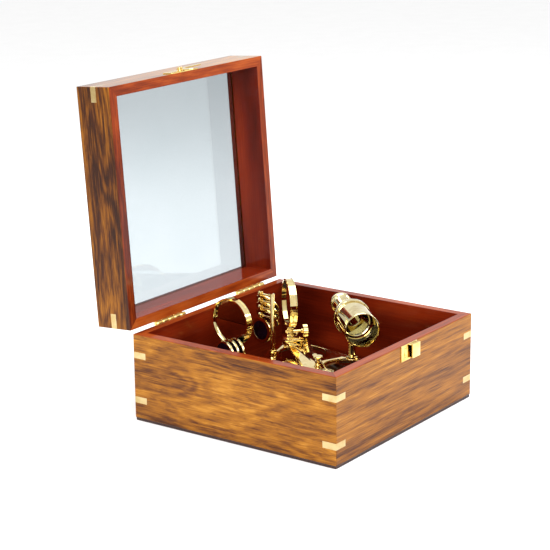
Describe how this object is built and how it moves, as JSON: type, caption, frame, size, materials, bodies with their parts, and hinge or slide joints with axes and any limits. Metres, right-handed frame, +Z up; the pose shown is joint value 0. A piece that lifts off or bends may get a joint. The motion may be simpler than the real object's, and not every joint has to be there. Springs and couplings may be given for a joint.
{
  "type": "boxed sextant",
  "caption": "Brass three-circle sextant lying in a mitred hardwood case with a glazed hinged lid standing open.",
  "frame": {"origin": "centre of the underside of the base board", "axes": "+Z up, -Y towards the catch, +Y towards the hinges, +X to the right seen from the catch"},
  "size_m": [0.266, 0.3314, 0.3628],
  "materials": {
    "case_wood": "satin lacquer",
    "base_wood": "satin",
    "key_brass": "satin",
    "fitting_brass": "polished",
    "window_glass": "clear",
    "polished_brass": "polished",
    "scale_metal": "satin",
    "grip_wood": "satin lacquer",
    "silvered_glass": "polished",
    "telescope_brass": "polished",
    "lens_glass": "clear",
    "shade_glass": "dark"
  },
  "bodies": {
    "root": {"base_board": "base_wood", "case_front_wall": "case_wood", "case_right_wall": "case_wood", "case_back_wall": "case_wood", "case_left_wall": "case_wood", "case_corner_keys": "key_brass", "case_hinge_leaves": "fitting_brass", "hinge_pins": "fitting_brass", "catch_keeper": "fitting_brass", "case_screws": "fitting_brass", "rest_blocks": "base_wood"},
    "lid": {"lid_front_rail": "case_wood", "lid_right_rail": "case_wood", "lid_back_rail": "case_wood", "lid_left_rail": "case_wood", "lid_corner_keys": "key_brass", "lid_glass": "window_glass", "lid_hinge_leaves": "fitting_brass", "latch_plate": "fitting_brass", "lid_screws": "fitting_brass"},
    "latch": {"latch_hook": "fitting_brass"},
    "sextant": {"sextant_frame": "polished_brass", "arc_scale": "scale_metal", "frame_feet": "polished_brass", "frame_spindles": "polished_brass", "handle_grip": "grip_wood", "handle_posts": "polished_brass", "horizon_mirror_frame": "polished_brass", "horizon_mirror": "silvered_glass", "horizon_clear_glass": "window_glass", "shade_posts": "polished_brass"},
    "index_arm": {"index_arm": "polished_brass", "vernier_plate": "scale_metal", "index_mirror_frame": "polished_brass", "index_mirror": "silvered_glass", "reader_post": "polished_brass"},
    "mirror_adjuster": {"mirror_adjuster": "polished_brass"},
    "clamp_screw": {"clamp_screw": "polished_brass"},
    "reader": {"reader_arm": "polished_brass", "reader_lens": "lens_glass"},
    "telescope": {"telescope_holder": "telescope_brass", "telescope_tube": "telescope_brass", "objective_cell": "telescope_brass", "objective_lens": "lens_glass"},
    "draw_tube": {"draw_tube": "telescope_brass", "eye_lens": "lens_glass"},
    "index_shade_1": {"index_shade_1_frame": "polished_brass", "index_shade_1_glass": "shade_glass"},
    "index_shade_2": {"index_shade_2_frame": "polished_brass", "index_shade_2_glass": "shade_glass"},
    "index_shade_3": {"index_shade_3_frame": "polished_brass", "index_shade_3_glass": "shade_glass"},
    "index_shade_4": {"index_shade_4_frame": "polished_brass", "index_shade_4_glass": "shade_glass"},
    "horizon_shade_1": {"horizon_shade_1_frame": "polished_brass", "horizon_shade_1_glass": "shade_glass"},
    "horizon_shade_2": {"horizon_shade_2_frame": "polished_brass", "horizon_shade_2_glass": "shade_glass"},
    "horizon_shade_3": {"horizon_shade_3_frame": "polished_brass", "horizon_shade_3_glass": "shade_glass"}
  },
  "joints": [
    {"name": "lid_hinge", "type": "hinge", "parent": "root", "child": "lid", "pos_m": [0, 0.1326, 0.0965], "axis": [-1, 0, 0], "range_deg": [-94, 0]},
    {"name": "latch_swing", "type": "hinge", "parent": "lid", "child": "latch", "pos_m": [-0.006, 0.1593, 0.36073], "axis": [0, 0.0698, 0.9976], "range_deg": [0, 45]},
    {"name": "sextant_lift", "type": "slide", "parent": "root", "child": "sextant", "axis": [0, 0, 1], "range_m": [0, 0.1]},
    {"name": "index_arm_swing", "type": "hinge", "parent": "sextant", "child": "index_arm", "pos_m": [0.064, 0.0587, 0.0518], "axis": [0, 0, 1], "range_deg": [-19, 20]},
    {"name": "mirror_adjuster_turn", "type": "hinge", "parent": "index_arm", "child": "mirror_adjuster", "pos_m": [0.06544, 0.05731, 0.0615], "axis": [0.7193, -0.6947, 0], "continuous": true},
    {"name": "clamp_screw_turn", "type": "hinge", "parent": "index_arm", "child": "clamp_screw", "pos_m": [-0.04437, -0.05352, 0.04], "axis": [0, 0, 1], "continuous": true},
    {"name": "reader_swing", "type": "hinge", "parent": "index_arm", "child": "reader", "pos_m": [-0.00673, -0.02174, 0.0578], "axis": [0, 0, 1], "range_deg": [-35, 35]},
    {"name": "telescope_swing", "type": "hinge", "parent": "sextant", "child": "telescope", "pos_m": [0.04807, -0.02949, 0.065], "axis": [0, 0, -1], "range_deg": [0, 97]},
    {"name": "draw_tube_focus", "type": "slide", "parent": "telescope", "child": "draw_tube", "axis": [0.6947, 0.7193, 0], "range_m": [-0.008, 0.012]},
    {"name": "index_shade_1_swing", "type": "hinge", "parent": "sextant", "child": "index_shade_1", "pos_m": [0.01841, 0.07252, 0.0896], "axis": [0.1478, 0.989, 0], "range_deg": [-15, 75]},
    {"name": "index_shade_2_swing", "type": "hinge", "parent": "sextant", "child": "index_shade_2", "pos_m": [0.01841, 0.07252, 0.0986], "axis": [0.1478, 0.989, 0], "range_deg": [-85, 4]},
    {"name": "index_shade_3_swing", "type": "hinge", "parent": "sextant", "child": "index_shade_3", "pos_m": [0.01841, 0.07252, 0.1064], "axis": [0.1478, 0.989, 0], "range_deg": [-85, 4]},
    {"name": "index_shade_4_swing", "type": "hinge", "parent": "sextant", "child": "index_shade_4", "pos_m": [0.01841, 0.07252, 0.1142], "axis": [0.1478, 0.989, 0], "range_deg": [-85, 4]},
    {"name": "horizon_shade_1_swing", "type": "hinge", "parent": "sextant", "child": "horizon_shade_1", "pos_m": [-0.04941, 0.04241, 0.0585], "axis": [0.9703, -0.2419, 0], "range_deg": [0, 75]},
    {"name": "horizon_shade_2_swing", "type": "hinge", "parent": "sextant", "child": "horizon_shade_2", "pos_m": [-0.05669, 0.04422, 0.0585], "axis": [0.9703, -0.2419, 0], "range_deg": [0, 75]},
    {"name": "horizon_shade_3_swing", "type": "hinge", "parent": "sextant", "child": "horizon_shade_3", "pos_m": [-0.06396, 0.04604, 0.0585], "axis": [0.9703, -0.2419, 0], "range_deg": [0, 75]}
  ],
  "couplings": [
    {"joint": "index_shade_2_swing", "follows": "index_shade_4_swing", "ratio": 1},
    {"joint": "index_shade_3_swing", "follows": "index_shade_4_swing", "ratio": 1}
  ]
}
